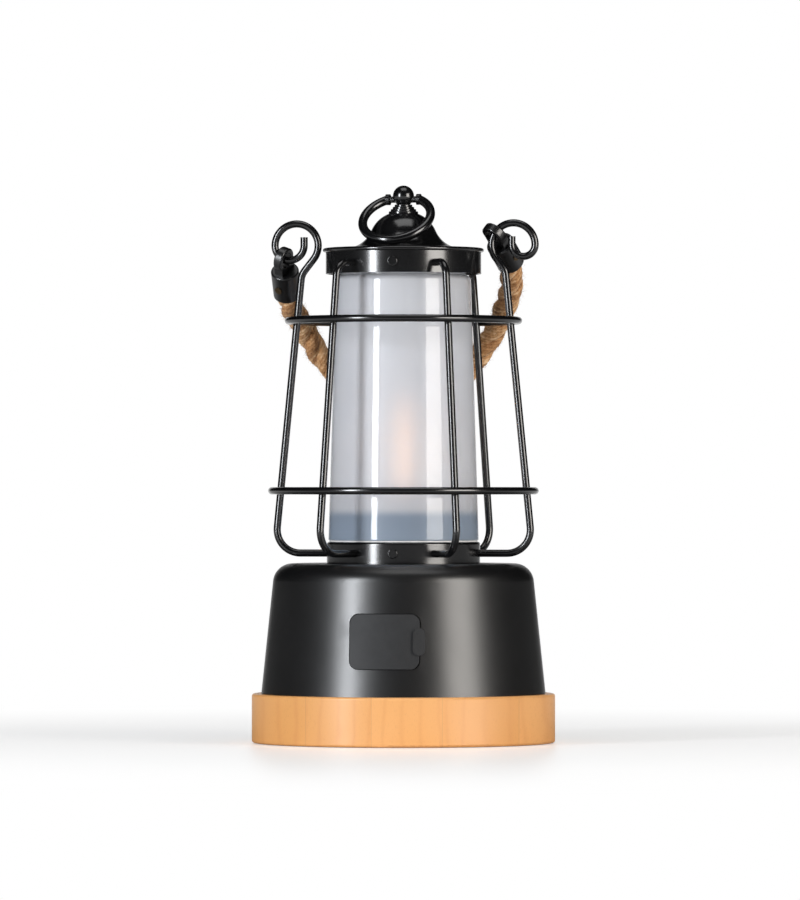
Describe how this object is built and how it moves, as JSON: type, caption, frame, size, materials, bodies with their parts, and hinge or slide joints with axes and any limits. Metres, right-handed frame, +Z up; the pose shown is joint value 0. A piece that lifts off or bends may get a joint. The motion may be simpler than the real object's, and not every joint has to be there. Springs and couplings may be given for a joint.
{
  "type": "lantern table lamp",
  "caption": "Table lantern with a frosted chimney in a wire cage, drum housing on a round wooden foot, rope handle, hanging ring, port flap and dimmer knob.",
  "frame": {"origin": "centre of the wooden foot's underside, on the lamp's axis", "axes": "+Z up along the lamp's axis; -Y towards the port flap; the cage's two hooks lie along +X and -X"},
  "size_m": [0.14, 0.1474, 0.257],
  "materials": {
    "wood": "light wood, clear satin finish",
    "pad_rubber": "matt black rubber",
    "steel": "plated steel",
    "black_paint": "satin black paint",
    "black_plastic": "fine matt",
    "cell_wrap": "shrink-wrapped can",
    "board": "solder mask",
    "flap_rubber": "matt rubber",
    "seat_plastic": "moulded grey",
    "warm_light": "warm diffuser",
    "silicone": "clear silicone",
    "frosted": "frosted inside, glossy outside",
    "brass": "dull",
    "rope_fibre": "twisted natural fibre"
  },
  "bodies": {
    "lamp": {"wood_base": "wood", "foot_pads": "pad_rubber", "base_screws": "steel", "housing": "black_paint", "housing_floor": "steel", "battery_holder": "black_plastic", "battery_cells": "cell_wrap", "circuit_board": "board", "usb_socket": "steel", "charging_socket": "steel", "port_panel": "black_plastic", "dimmer_control": "steel", "dimmer_nut": "steel", "collar": "black_paint", "collar_screws": "black_paint", "led_seat": "seat_plastic", "led_post": "seat_plastic", "led_flame": "warm_light", "chimney_seal_lower": "silicone", "chimney": "frosted", "chimney_seal_upper": "silicone", "cap_band": "black_paint", "cap": "black_paint", "cap_screws": "black_paint", "finial": "black_paint", "finial_nut": "steel", "cage_ring_upper": "black_paint", "cage_ring_lower": "black_paint", "hook_wire_right": "black_paint", "hook_wire_left": "black_paint", "cage_wire_back_right": "black_paint", "cage_wire_back_left": "black_paint", "cage_wire_front_left": "black_paint", "cage_wire_front_right": "black_paint"},
    "handle": {"ferrule_left": "black_paint", "ferrule_right": "black_paint", "ferrule_rivets": "brass", "handle_rope": "rope_fibre"},
    "ring": {"hanging_ring": "black_paint"},
    "flap": {"port_flap": "flap_rubber"},
    "knob": {"dimmer_knob": "black_plastic", "dimmer_shaft": "steel"}
  },
  "joints": [
    {"name": "handle_swing", "type": "hinge", "parent": "lamp", "child": "handle", "pos_m": [-0.05607, 0, 0.22324], "axis": [0.9936, 0, 0.1132], "range_deg": [0, 70]},
    {"name": "ring_swing", "type": "hinge", "parent": "lamp", "child": "ring", "pos_m": [0, 0, 0.2505], "axis": [-0.9877, 0.1564, 0], "range_deg": [0, 259]},
    {"name": "flap_hinge", "type": "hinge", "parent": "lamp", "child": "flap", "pos_m": [-0.01615, -0.06181, 0.0477], "axis": [-0.0262, -0.1003, -0.9946], "range_deg": [0, 110]},
    {"name": "knob_turn", "type": "hinge", "parent": "lamp", "child": "knob", "pos_m": [0, 0.06314, 0.0462], "axis": [0, -0.9946, -0.1037], "range_deg": [0, 270]}
  ]
}
